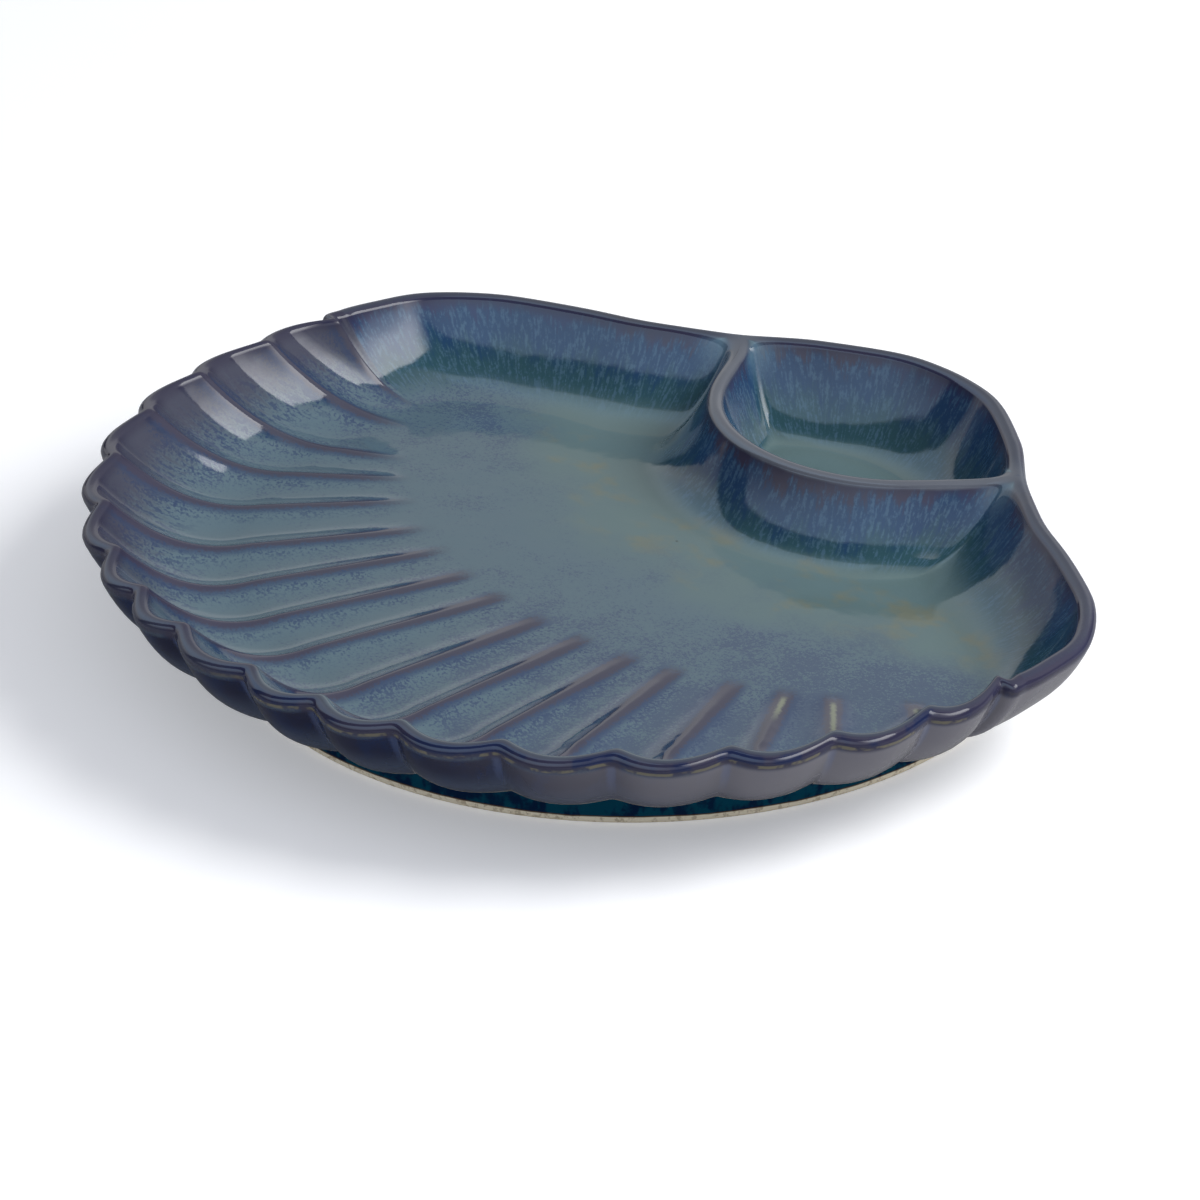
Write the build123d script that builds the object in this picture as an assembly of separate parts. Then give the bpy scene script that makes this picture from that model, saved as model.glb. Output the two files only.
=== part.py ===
from build123d import *
import os
from math import atan2, cos, radians, sin

# Chip and dip platter in the shape of a scallop shell, in millimetres.
# Origin: centre of the box's base, on the table. +X is the shell's width, +Y points to the hinge
# where the dip bowl is, +Z is up.

# Rim, seen from above: the outer edge of the lip. The flutes follow a slightly squared ellipse.
rim_half_width = 159.3
rim_half_length = 146.5
rim_centre_y = -10.0
rim_power = 2.05
rim_height = 45.0
lip_radius = 3.1

# Places of the ridges along that ellipse, in degrees from the front, on each side.
ridge_angles = (6.0, 15.8, 25.9, 37.5, 49.7, 62.0, 73.8, 85.5, 95.5)
flute_depth = 5.6
flute_rim_rise = 2.2

# Inner ends of the ridges on the tray's floor.
ridge_end_front = -41.0
ridge_end_side = 9.0
ridge_end_half_width = 119.0
ridge_end_power = 2.3
ridge_end_shares = (0.080, 0.227, 0.374, 0.496, 0.643, 0.756, 0.849, 1.0, 1.09)

# Smooth rear lobes, from the last ridge to the junction with the bowl, as shares of the rim's
# half width and of the bowl's reach behind the foot's centre.
bowl_reach = 135.0
lobe_shares = (
    (1.017, 0.096),
    (1.004, 0.207),
    (0.973, 0.318),
    (0.891, 0.430),
    (0.804, 0.500),
    (0.681, 0.574),
    (0.565, 0.637),
)
lobe_floor_shares = (
    (0.797, 0.163),
    (0.775, 0.204),
    (0.741, 0.244),
    (0.684, 0.289),
    (0.621, 0.322),
    (0.546, 0.356),
    (0.452, 0.396),
)
junction_share = (0.4175, 0.752)
junction_floor_share = (0.382, 0.462)

# Crest of the divider between tray and bowl, and where its two sides meet the floors.
divider_drop = 2.0
crest_shares = (
    (0.368, 0.690),
    (0.317, 0.600),
    (0.250, 0.503),
    (0.172, 0.437),
    (0.088, 0.400),
    (0.0, 0.388),
)
crest_floor_shares = (
    (0.376, 0.438),
    (0.367, 0.405),
    (0.331, 0.347),
    (0.241, 0.279),
    (0.124, 0.233),
    (0.0, 0.217),
)

# Rear rim of the bowl, from the junction to the middle.
bowl_rim_shares = (
    (0.330, 0.838),
    (0.262, 0.893),
    (0.151, 0.967),
    (0.062, 0.995),
    (0.0, 1.0),
)

# Bowl mouth and floor: ellipses round one centre.
bowl_centre_y = 88.0
bowl_mouth_half_width = 58.0
bowl_mouth_half_length = 40.0
bowl_floor_half_width = 36.0
bowl_floor_half_length = 17.0

# Floors and walls.
tray_floor_thickness = 7.0
bowl_floor_thickness = 5.0
wall_reach = 42.0
tray_wall_power = 2.2
bowl_wall_power = 1.9
luting_gap = 0.1

# Foot ring.
foot_radius = 121.7
foot_width = 6.5
foot_height = 13.0
foot_edge_radius = 1.6

# How far out from foot to lip each outer ring lies, and how far down from lip to floor each
# inner ring lies. The outer wall starts flat and steepens.
outer_ring_shares = (0.0, 0.2, 0.4, 0.55, 0.68, 0.79, 0.88, 0.95, 1.0)
inner_ring_shares = (0.04, 0.08, 0.13, 0.18, 0.24, 0.3, 0.37, 0.46, 0.6, 0.8, 1.0)
outer_flat_share = 0.4
outer_wall_power = 4.4
outer_groove_share = 0.5
lip_angles = (30.0, 60.0, 90.0, 115.0, 143.0)

tray_floor_height = foot_height + tray_floor_thickness
bowl_floor_height = foot_height + bowl_floor_thickness
crest_height = rim_height - divider_drop


def scaled(share):
    """A point given as shares of the rim's half width and of the bowl's reach."""
    return Vector(share[0] * rim_half_width, share[1] * bowl_reach)


def mirrored(point):
    """The same point on the other side of the shell."""
    return Vector(-point.X, point.Y, point.Z)


def rim_point(angle):
    """Outer edge of the fluted rim at an angle from the front."""
    across = sin(radians(angle))
    along = (1 - abs(across) ** rim_power) ** (1 / rim_power)
    if abs(angle) > 90:
        along = -along
    return Vector(rim_half_width * across, rim_centre_y - rim_half_length * along)


def ridge_end(share):
    """Where a ridge fades out on the floor, at a share of the half width."""
    rise = (ridge_end_side - ridge_end_front) * abs(share) ** ridge_end_power
    return Vector(ridge_end_half_width * share, ridge_end_front + rise)


def on_foot(point):
    """The point of the foot's outer circle in the direction of a point."""
    return point.normalized() * foot_radius


def under_crest(point):
    """The divider's base under a point of its crest, drawn in where its ends pass the foot."""
    return point * min(1, foot_radius / scaled(junction_share).length)


def bowl_floor_point(edge):
    """The point of the bowl's floor edge that faces a point of its mouth."""
    across = edge.X / bowl_mouth_half_width
    along = (edge.Y - bowl_centre_y) / bowl_mouth_half_length
    angle = atan2(along, across)
    return Vector(
        bowl_floor_half_width * cos(angle),
        bowl_centre_y + bowl_floor_half_length * sin(angle),
    )


def inward_normals(points):
    """Unit normals of a row of points that runs anticlockwise round the rim, turned inwards."""
    normals = []
    for place in range(len(points)):
        before = points[max(place - 1, 0)]
        after = points[min(place + 1, len(points) - 1)]
        along = (after - before).normalized()
        normals.append(Vector(-along.Y, along.X))
    return normals


def column(edge, lead, lip, foot, floor, top, floor_height, power, ridge=0, depth=0):
    """Points down the section at one place of the rim: outer wall, lip, inner wall, floor.

    The lip turns round a centre that lies lead inside the edge, and lip is its inward radius.
    A ridge stands above the floor where the wall ends and sinks into it at its inner end. A depth
    pushes the section out and down, square to the wall, as in the middle of a flute.
    """
    lip_end = radians(lip_angles[-1])
    start = edge + lead - lip * cos(lip_end)
    start_height = top - lip_radius * (1 - sin(lip_end))
    inward = (floor - start).normalized()
    length = (floor - start).length
    run = min(wall_reach, length)
    drop = start_height - floor_height
    rim_slope = atan2(drop * power, run)
    rim_push = inward * (-depth * sin(rim_slope)) - Vector(0, 0, depth * cos(rim_slope))
    points = []
    for share in outer_ring_shares:
        rise = outer_flat_share * share + (1 - outer_flat_share) * share**outer_wall_power
        height = foot_height + (top - lip_radius - foot_height) * rise
        groove = max(0, (share - outer_groove_share) / (1 - outer_groove_share))
        points.append(foot + (edge - foot) * share + Vector(0, 0, height) + rim_push * groove)
    for angle in lip_angles:
        across = cos(radians(angle))
        reach = lead * (1 - across) if angle < 90 else lead - lip * across
        height = top - lip_radius * (1 - sin(radians(angle)))
        points.append(edge + reach + Vector(0, 0, height) + rim_push)
    for share in inner_ring_shares:
        reach = length * share
        left = max(0, 1 - reach / run)
        slope = atan2(drop * power * left ** (power - 1), run)
        fade = depth * (1 - share)
        push = inward * (-fade * sin(slope)) - Vector(0, 0, fade * cos(slope))
        height = floor_height + drop * left**power + ridge * (1 - share) * (1 - left)
        points.append(start + inward * reach + Vector(0, 0, height) + push)
    return points


def flute_column(angle, share, rise=0, depth=0):
    """A section through the fluted rim, along a ridge or the middle of a flute."""
    edge = rim_point(angle)
    floor = ridge_end(share)
    lip = (floor - edge).normalized() * lip_radius
    top = rim_height + rise
    level = (tray_floor_height, tray_wall_power)
    return column(edge, lip, lip, on_foot(edge), floor, top, *level, flute_depth, depth)


def rim_columns(edges, floors, floor_height, power):
    """Sections along a smooth stretch of rim, without its two ends."""
    columns = []
    for edge, normal, floor in list(zip(edges, inward_normals(edges), floors))[1:-1]:
        lip = normal * lip_radius
        columns.append(
            column(edge, lip, lip, on_foot(edge), floor, rim_height, floor_height, power)
        )
    return columns


def crest_columns(edges, floors, side, floor_height, power):
    """Sections through one half of the divider, upright on the side that is luted."""
    columns = []
    for edge, normal, floor in list(zip(edges, inward_normals(edges), floors))[1:-1]:
        lip = normal * (side * lip_radius)
        face = edge + normal * (side * luting_gap / 2)
        base = under_crest(face)
        columns.append(
            column(face, Vector(), lip, base, floor, crest_height, floor_height, power)
        )
    return columns


def junction_column(beside, floor, floor_height, power):
    """The section where the divider's crest runs into the lip of the rim beside it."""
    edge = scaled(junction_share)
    along_crest = (scaled(crest_shares[0]) - edge).normalized()
    along_rim = (beside - edge).normalized()
    edge += along_rim * (luting_gap / 2)
    middle = (along_crest + along_rim).normalized()
    widening = middle.cross(along_rim).length
    lip = middle * (lip_radius / widening)
    foot = on_foot(edge)
    lead = along_crest * lip_radius
    return column(edge, lead, lip, foot, floor, rim_height, floor_height, power)


def whole_row(corner_share, shares):
    """Points from the right junction to the left one, through a row that ends in the middle."""
    half = [scaled(corner_share)] + [scaled(share) for share in shares]
    return half + [mirrored(point) for point in reversed(half[:-1])]


def other_side(columns):
    """The mirror image of a row of sections, in the order that carries on round the rim."""
    return [[mirrored(point) for point in points] for points in reversed(columns)]


def flute_edge(first, middle, last):
    """One flute's piece of a ring: a parabola through its middle."""
    return Edge.make_bezier(first, middle * 2 - (first + last) / 2, last)


def smooth_edge(points):
    """A smooth piece of a ring, with its knots evenly spread so that all rings match."""
    return Edge.make_spline(points, parameters=[float(place) for place in range(len(points))])


def ring_loft(make_ring):
    """A solid through rings that run up the outside, over the lip and down to the floor."""
    count = len(outer_ring_shares) + len(lip_angles) + len(inner_ring_shares)
    return Solid.make_loft([Wire(make_ring(place)) for place in range(count)], ruled=True)


def make_fluted_dish():
    """The tray: 17 flutes, two smooth lobes and the tray's half of the divider."""
    angles = [-angle for angle in reversed(ridge_angles)] + list(ridge_angles)
    ends = [-share for share in reversed(ridge_end_shares)] + list(ridge_end_shares)
    ridges = [flute_column(angle, end) for angle, end in zip(angles, ends)]
    middles = []
    for place in range(len(angles) - 1):
        angle = (angles[place] + angles[place + 1]) / 2
        end = (ends[place] + ends[place + 1]) / 2
        middles.append(flute_column(angle, end, flute_rim_rise, flute_depth))

    corner = scaled(junction_share)
    corner_floor = scaled(junction_floor_share)
    lobe_edges = [rim_point(ridge_angles[-1])] + [scaled(e) for e in lobe_shares] + [corner]
    lobe_floors = [ridge_end(ends[-1])] + [scaled(f) for f in lobe_floor_shares] + [corner_floor]
    level = (tray_floor_height, tray_wall_power)
    junction = junction_column(lobe_edges[-2], corner_floor, *level)
    lobe = [ridges[-1]] + rim_columns(lobe_edges, lobe_floors, *level) + [junction]
    floors = whole_row(junction_floor_share, crest_floor_shares)
    crest = crest_columns(whole_row(junction_share, crest_shares), floors, 1, *level)
    divider = [junction] + crest + other_side([junction])

    def make_ring(place):
        edges = [
            flute_edge(ridges[k][place], middles[k][place], ridges[k + 1][place])
            for k in range(len(middles))
        ]
        edges.append(smooth_edge([points[place] for points in lobe]))
        edges.append(smooth_edge([points[place] for points in divider]))
        edges.append(smooth_edge([points[place] for points in other_side(lobe)]))
        return edges

    return ring_loft(make_ring)


def make_dip_bowl():
    """The cup: its rear wall, its floor and its own half of the divider."""
    level = (bowl_floor_height, bowl_wall_power)
    rear_edges = whole_row(junction_share, bowl_rim_shares)
    rear_floors = [bowl_floor_point(edge) for edge in rear_edges]
    crest_edges = whole_row(junction_share, crest_shares)
    crest_floors = [bowl_floor_point(edge) for edge in crest_edges]
    junction = junction_column(rear_edges[1], rear_floors[0], *level)
    ends = ([junction], other_side([junction]))
    rear = ends[0] + rim_columns(rear_edges, rear_floors, *level) + ends[1]
    divider = ends[0] + crest_columns(crest_edges, crest_floors, -1, *level) + ends[1]
    divider.reverse()

    def make_ring(place):
        return [smooth_edge([points[place] for points in row]) for row in (rear, divider)]

    return ring_loft(make_ring)


def make_foot_ring():
    """The turned ring that the platter stands on, with its lower edges rounded."""
    ring = Cylinder(foot_radius, foot_height, align=(Align.CENTER, Align.CENTER, Align.MIN))
    ring -= Cylinder(
        foot_radius - foot_width, foot_height, align=(Align.CENTER, Align.CENTER, Align.MIN)
    )
    edges = ring.edges().filter_by(GeomType.CIRCLE).group_by(Axis.Z)[0]
    return fillet(edges, foot_edge_radius)


def main():
    os.makedirs("parts", exist_ok=True)
    dish = make_fluted_dish()
    shift = Location((0, -(dish.bounding_box().min.Y + bowl_reach) / 2, 0))
    pieces = {
        "fluted_dish": dish,
        "dip_bowl": make_dip_bowl(),
        "foot_ring": make_foot_ring(),
    }
    for name, piece in pieces.items():
        export_step(shift * piece, f"parts/{name}.step")


main()
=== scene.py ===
import math

import bpy
import numpy as np
from mathutils import Matrix, Vector


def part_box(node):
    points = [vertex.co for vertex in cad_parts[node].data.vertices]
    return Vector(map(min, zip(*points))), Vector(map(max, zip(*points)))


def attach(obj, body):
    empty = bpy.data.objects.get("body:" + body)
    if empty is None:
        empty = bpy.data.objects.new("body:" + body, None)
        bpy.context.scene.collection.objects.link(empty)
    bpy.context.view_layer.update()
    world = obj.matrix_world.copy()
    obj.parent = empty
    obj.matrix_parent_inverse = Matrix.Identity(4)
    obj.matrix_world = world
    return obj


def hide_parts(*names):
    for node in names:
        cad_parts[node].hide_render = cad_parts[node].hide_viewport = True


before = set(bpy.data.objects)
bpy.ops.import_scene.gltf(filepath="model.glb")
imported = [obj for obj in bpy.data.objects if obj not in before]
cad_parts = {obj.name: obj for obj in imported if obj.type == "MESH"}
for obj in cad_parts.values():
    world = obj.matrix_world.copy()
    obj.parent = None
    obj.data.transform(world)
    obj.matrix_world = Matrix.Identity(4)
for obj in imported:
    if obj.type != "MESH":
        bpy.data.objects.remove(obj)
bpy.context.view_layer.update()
scene = bpy.context.scene
mm = 0.001


class Term:
    # One socket of a node tree that takes part in sums.
    def __init__(self, tree, socket):
        self.tree = tree
        self.socket = socket

    def isVector(self):
        return self.socket.type in ("VECTOR", "RGBA")

    def mathNode(self, operation, *others):
        terms = (self, *others)
        vectors = [isinstance(term, Term) and term.isVector() for term in terms]
        if not any(vectors) and not any(isinstance(term, tuple) for term in terms):
            node = self.tree.nodes.new("ShaderNodeMath")
            node.operation = operation
            slots = node.inputs
        else:
            node = self.tree.nodes.new("ShaderNodeVectorMath")
            scaling = operation == "MULTIPLY" and vectors.count(True) == 1
            scaling = scaling and not any(isinstance(term, tuple) for term in terms)
            if scaling:
                operation = "SCALE"
                if not vectors[0]:
                    terms = terms[::-1]
            node.operation = operation
            slots = [node.inputs[0], node.inputs["Scale"]] if scaling else node.inputs
        for slot, term in zip(slots, terms):
            plug(self.tree, slot, term)
        if operation == "LENGTH":
            return Term(self.tree, node.outputs["Value"])
        return Term(self.tree, node.outputs[0])

    def __add__(self, other):
        return self.mathNode("ADD", other)

    def __radd__(self, other):
        return self.mathNode("ADD", other)

    def __sub__(self, other):
        return self.mathNode("SUBTRACT", other)

    def __rsub__(self, other):
        return (self * -1.0).mathNode("ADD", other)

    def __mul__(self, other):
        return self.mathNode("MULTIPLY", other)

    def __rmul__(self, other):
        return self.mathNode("MULTIPLY", other)

    def __truediv__(self, other):
        if self.isVector() and not isinstance(other, tuple):
            return self * other ** -1.0 if isinstance(other, Term) else self * (1 / other)
        return self.mathNode("DIVIDE", other)

    def __pow__(self, other):
        return self.mathNode("POWER", other)

    def sin(self):
        return self.mathNode("SINE")

    def cos(self):
        return self.mathNode("COSINE")

    def length(self):
        return self.mathNode("LENGTH")

    def atLeast(self, other):
        return self.mathNode("MAXIMUM", other)

    def atMost(self, other):
        return self.mathNode("MINIMUM", other)

    def over(self, other):
        return self.mathNode("GREATER_THAN", other)

    def angleTo(self, run):
        return self.mathNode("ARCTAN2", run)

    def towards(self, other, share):
        return self * (1.0 - share) + share * other

    def step(self, low, high):
        # Smooth rise from 0 at low to 1 at high.
        node = self.tree.nodes.new("ShaderNodeMapRange")
        node.interpolation_type = "SMOOTHSTEP"
        plug(self.tree, node.inputs["Value"], self)
        plug(self.tree, node.inputs["From Min"], low)
        plug(self.tree, node.inputs["From Max"], high)
        return Term(self.tree, node.outputs["Result"])

    def fall(self, low, high):
        return 1.0 - self.step(low, high)

    def band(self, start, full, fading, end):
        return self.step(start, full) * self.fall(fading, end)


def plug(tree, slot, value):
    if isinstance(value, Term):
        tree.links.new(value.socket, slot)
    else:
        slot.default_value = value


class Graph:
    # A node tree in the making: every node other than sums comes through node().
    def __init__(self, tree):
        self.tree = tree

    def node(self, kind, settings=None, **sockets):
        made = self.tree.nodes.new(kind)
        for name, value in (settings or {}).items():
            setattr(made, name, value)
        for name, value in sockets.items():
            key = int(name[4:]) if name.startswith("slot") else name.replace("_", " ")
            plug(self.tree, made.inputs[key], value)
        return made

    def term(self, kind, settings=None, output=0, **sockets):
        return Term(self.tree, self.node(kind, settings, **sockets).outputs[output])

    def attribute(self, name, kind):
        settings = {"data_type": kind}
        node = self.node("GeometryNodeInputNamedAttribute", settings, Name=name)
        return Term(self.tree, node.outputs["Attribute"])

    def stored(self, name, output="Fac"):
        return self.term("ShaderNodeAttribute", {"attribute_name": name}, output)

    def noise(self, vector, scale, detail=3.0, roughness=0.55):
        values = {"Vector": vector, "Scale": scale, "Detail": detail, "Roughness": roughness}
        return self.term("ShaderNodeTexNoise", None, "Fac", **values)

    def mix(self, first, second, share):
        settings = {"data_type": "RGBA"}
        return self.term("ShaderNodeMix", settings, 2, slot0=share, slot6=first, slot7=second)

    def bump(self, height, strength):
        values = {"Strength": strength, "Distance": mm, "Height": height}
        return self.term("ShaderNodeBump", None, "Normal", **values)

    def parts(self, vector):
        node = self.node("ShaderNodeSeparateXYZ", None, Vector=vector)
        return [Term(self.tree, node.outputs[axis]) for axis in "XYZ"]

    def dress(self, **sockets):
        # Feeds the shader that a new material starts with.
        shader = self.tree.nodes["Principled BSDF"]
        for name, value in sockets.items():
            plug(self.tree, shader.inputs[name.replace("_", " ")], value)

    def rayKinds(self):
        # Whether a ray comes from the camera, and whether it is a mirrored one.
        outputs = self.node("ShaderNodeLightPath").outputs
        return [Term(self.tree, outputs[name]) for name in ("Is Camera Ray", "Is Glossy Ray")]


# The form of the shell, in millimetres round the foot's centre, as in the CAD source.
form = {
    "rimHalfWidth": 159.3,
    "rimHalfLength": 146.5,
    "rimCentreY": -10.0,
    "rimPower": 2.05,
    "rimHeight": 45.0,
    "lipRadius": 3.1,
    "ridgeAngles": (6.0, 15.8, 25.9, 37.5, 49.7, 62.0, 73.8, 85.5, 95.5),
    "ridgeEndFront": -41.0,
    "ridgeEndSide": 9.0,
    "ridgeEndHalfWidth": 119.0,
    "ridgeEndPower": 2.3,
    "ridgeEndShares": (0.080, 0.227, 0.374, 0.496, 0.643, 0.756, 0.849, 1.0, 1.09),
    "bowlReach": 135.0,
    "lobeShares": (
        (1.017, 0.096), (1.004, 0.207), (0.973, 0.318), (0.891, 0.430),
        (0.804, 0.500), (0.681, 0.574), (0.565, 0.637),
    ),
    "lobeFloorShares": (
        (0.797, 0.163), (0.775, 0.204), (0.741, 0.244), (0.684, 0.289),
        (0.621, 0.322), (0.546, 0.356), (0.452, 0.396),
    ),
    "junctionShare": (0.4175, 0.752),
    "junctionFloorShare": (0.382, 0.462),
    "crestHeight": 43.0,
    "crestShares": (
        (0.368, 0.690), (0.317, 0.600), (0.250, 0.503), (0.172, 0.437),
        (0.088, 0.400), (0.0, 0.388),
    ),
    "crestFloorShares": (
        (0.376, 0.438), (0.367, 0.405), (0.331, 0.347), (0.241, 0.279),
        (0.124, 0.233), (0.0, 0.217),
    ),
    "bowlRimShares": ((0.330, 0.838), (0.262, 0.893), (0.151, 0.967), (0.062, 0.995), (0.0, 1.0)),
    "bowlCentreY": 88.0,
    "bowlMouth": (58.0, 40.0),
    "bowlFloor": (36.0, 17.0),
    "trayFloorHeight": 20.0,
    "bowlFloorHeight": 18.0,
    "trayWallPower": 2.2,
    "bowlWallPower": 1.9,
    "footRadius": 121.7,
    "lipEnd": 143.0,
    "floorReach": (0.6, 7.0),
    "lobeSpan": 16.0,
}

# Inputs of the node tree that turns rows of section data into the surface.
sectionInputs = {
    "Lip Radius": form["lipRadius"] * mm,
    "Lip End": math.radians(form["lipEnd"]),
    "Flute Depth": 5.6 * mm,
    "Flute Rim Rise": 2.2 * mm,
    "Foot Height": 13.0 * mm,
    "Wall Reach": 42.0 * mm,
    "Outer Flat Share": 0.4,
    "Outer Wall Power": 4.4,
    "Groove Start": 0.12,
    "Outer Groove Softness": 0.07,
    "Rim Ridge Softness": 0.12,
    "Floor Ridge Softness": 0.2,
    "Channel Power": 2.0,
    "Floor Channel Power": 2.6,
}

meshSteps = {
    "flute": 24,
    "lobe": 14,
    "divider": 14,
    "rear": 14,
    "outer": 22,
    "lip": 14,
    "inner": 56,
    "floor": 5,
    "ridgeCrowding": 0.6,
    "lipCrowding": 1.35,
}

# Softening of the corners where the divider runs into the rim, in millimetres, rings and rounds.
blending = {
    "cornerReach": 42.0,
    "cornerRounds": 90,
    "cornerPull": 0.5,
    "saddleReach": 26.0,
    "saddleRings": (3, 12),
    "saddleRounds": 26,
    "lipRings": 2.5,
    "lipRounds": 2,
    "pull": 0.6,
}


def unit(vector):
    return vector / np.linalg.norm(vector)


def rimPoint(angle):
    across = math.sin(math.radians(angle))
    along = (1 - abs(across) ** form["rimPower"]) ** (1 / form["rimPower"])
    if abs(angle) > 90:
        along = -along
    y = form["rimCentreY"] - form["rimHalfLength"] * along
    return np.array((form["rimHalfWidth"] * across, y))


def ridgeEnd(share):
    front = form["ridgeEndFront"]
    rise = (form["ridgeEndSide"] - front) * abs(share) ** form["ridgeEndPower"]
    return np.array((form["ridgeEndHalfWidth"] * share, front + rise))


def scaled(share):
    return np.array((share[0] * form["rimHalfWidth"], share[1] * form["bowlReach"]))


def onFoot(point):
    return unit(point) * form["footRadius"]


def bowlFloorPoint(edge):
    across = edge[0] / form["bowlMouth"][0]
    along = (edge[1] - form["bowlCentreY"]) / form["bowlMouth"][1]
    angle = math.atan2(along, across)
    x = form["bowlFloor"][0] * math.cos(angle)
    return np.array((x, form["bowlCentreY"] + form["bowlFloor"][1] * math.sin(angle)))


def sectionRow(edge, lead, lip, foot, floor, top, ridge=0.0, phase=0.0, spans=(40.0, 40.0)):
    # Columns 0 to 9 are the five points in plan, 10 to 12 top, ridge and phase, then two spans.
    return np.array((*edge, *lead, *lip, *foot, *floor, top, ridge, phase, *spans))


def smoothFall(share):
    share = np.clip(share, 0, 1)
    return share * share * (3 - 2 * share)


def pastTips(rows):
    # Ends of the sections on the floor: well past the ridges' tips, else just past the wall.
    inward = rows[:, 8:10] - rows[:, 0:2]
    inward = inward / np.linalg.norm(inward, axis=1)[:, None]
    side = form["ridgeEndHalfWidth"]
    beyond = (abs(rows[:, 8:9]) - side) / (side * (form["ridgeEndShares"][-1] - 1))
    short, long = form["floorReach"]
    reach = short + (long - short) * rows[:, 11:12] * smoothFall(1 - beyond)
    return rows[:, 8:10] + inward * reach


def mirroredRows(rows):
    # The other side of the shell, in the order that carries on round the rim.
    turned = rows[::-1].copy()
    turned[:, 0:10:2] *= -1
    return turned


def inwardNormals(points):
    normals = []
    for place in range(len(points)):
        along = unit(points[min(place + 1, len(points) - 1)] - points[max(place - 1, 0)])
        normals.append(np.array((-along[1], along[0])))
    return normals


def rimRows(edges, floors):
    rows = []
    for edge, normal, floor in list(zip(edges, inwardNormals(edges), floors))[1:-1]:
        lip = normal * form["lipRadius"]
        rows.append(sectionRow(edge, lip, lip, onFoot(edge), floor, form["rimHeight"]))
    return rows


def crestRows(edges, floors, side):
    rows = []
    for edge, normal, floor in list(zip(edges, inwardNormals(edges), floors))[1:-1]:
        lip = normal * side * form["lipRadius"]
        rows.append(sectionRow(edge, normal * 0, lip, edge, floor, form["crestHeight"]))
    return rows


def junctionRow(beside, floor):
    edge = scaled(form["junctionShare"])
    alongCrest = unit(scaled(form["crestShares"][0]) - edge)
    alongRim = unit(beside - edge)
    middle = unit(alongCrest + alongRim)
    widening = abs(middle[0] * alongRim[1] - middle[1] * alongRim[0])
    lip = middle * form["lipRadius"] / widening
    lead = alongCrest * form["lipRadius"]
    return sectionRow(edge, lead, lip, onFoot(edge), floor, form["rimHeight"])


def wholeRow(corner, shares):
    half = [scaled(corner)] + [scaled(share) for share in shares]
    return half + [point * (-1, 1) for point in half[-2::-1]]


def smoothRows(rows, steps):
    # A natural cubic through the rows, sampled evenly.
    rows = np.array(rows)
    count = len(rows)
    system = np.eye(count)
    bends = np.zeros_like(rows)
    for place in range(1, count - 1):
        system[place, place - 1 : place + 2] = (1, 4, 1)
        bends[place] = 6 * (rows[place - 1] - 2 * rows[place] + rows[place + 1])
    bends = np.linalg.solve(system, bends)
    at = np.arange((count - 1) * steps + 1) / steps
    low = np.minimum(at.astype(int), count - 2)
    share = (at - low)[:, None]
    rest = 1 - share
    straight = rest * rows[low] + share * rows[low + 1]
    bend = (rest**3 - rest) * bends[low] + (share**3 - share) * bends[low + 1]
    return straight + bend / 6


def dishRows():
    angles = [-a for a in form["ridgeAngles"][::-1]] + list(form["ridgeAngles"])
    ends = [-e for e in form["ridgeEndShares"][::-1]] + list(form["ridgeEndShares"])
    steps = meshSteps["flute"]
    flutes = []
    for place in range(len(angles) - 1):
        rims = [rimPoint(angle) for angle in angles[place : place + 2]]
        tips = [ridgeEnd(end) for end in ends[place : place + 2]]
        spans = [np.linalg.norm(pair[1] - pair[0]) / 2 for pair in (rims, tips)]
        for step in range(steps):
            crowding = math.sin(2 * math.pi * step / steps) * meshSteps["ridgeCrowding"]
            share = step / steps - crowding / (2 * math.pi)
            edge = rimPoint(angles[place] + (angles[place + 1] - angles[place]) * share)
            floor = ridgeEnd(ends[place] + (ends[place + 1] - ends[place]) * share)
            lip = unit(floor - edge) * form["lipRadius"]
            phase = 1 - abs(2 * share - 1)
            row = (edge, lip, lip, onFoot(edge), floor, form["rimHeight"], 1.0, phase, spans)
            flutes.append(sectionRow(*row))
    edge = rimPoint(angles[-1])
    floor = ridgeEnd(ends[-1])
    lip = unit(floor - edge) * form["lipRadius"]
    lastRidge = sectionRow(edge, lip, lip, onFoot(edge), floor, form["rimHeight"], 1.0)

    corner = scaled(form["junctionShare"])
    cornerFloor = scaled(form["junctionFloorShare"])
    edges = [edge] + [scaled(share) for share in form["lobeShares"]] + [corner]
    floors = [floor] + [scaled(share) for share in form["lobeFloorShares"]] + [cornerFloor]
    junction = junctionRow(edges[-2], cornerFloor)
    lobe = smoothRows([lastRidge, *rimRows(edges, floors), junction], meshSteps["lobe"])
    fade = np.clip(1 - np.arange(len(lobe)) / meshSteps["lobe"], 0, 1)
    lobe[:, 11] = smoothFall(fade)
    lobe[:, 12] = np.clip(1 - fade, 0, 1)
    lobe[:, 13:15] = form["lobeSpan"]
    crestFloors = wholeRow(form["junctionFloorShare"], form["crestFloorShares"])
    crest = crestRows(wholeRow(form["junctionShare"], form["crestShares"]), crestFloors, 1)
    ends = (junction[None, :], mirroredRows(junction[None, :]))
    divider = smoothRows(np.concatenate((ends[0], crest, ends[1])), meshSteps["divider"])
    rows = np.concatenate((flutes, lobe[:-1], divider, mirroredRows(lobe[1:])[1:]))
    return rows, len(flutes) + len(lobe) - 1, len(divider)


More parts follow.
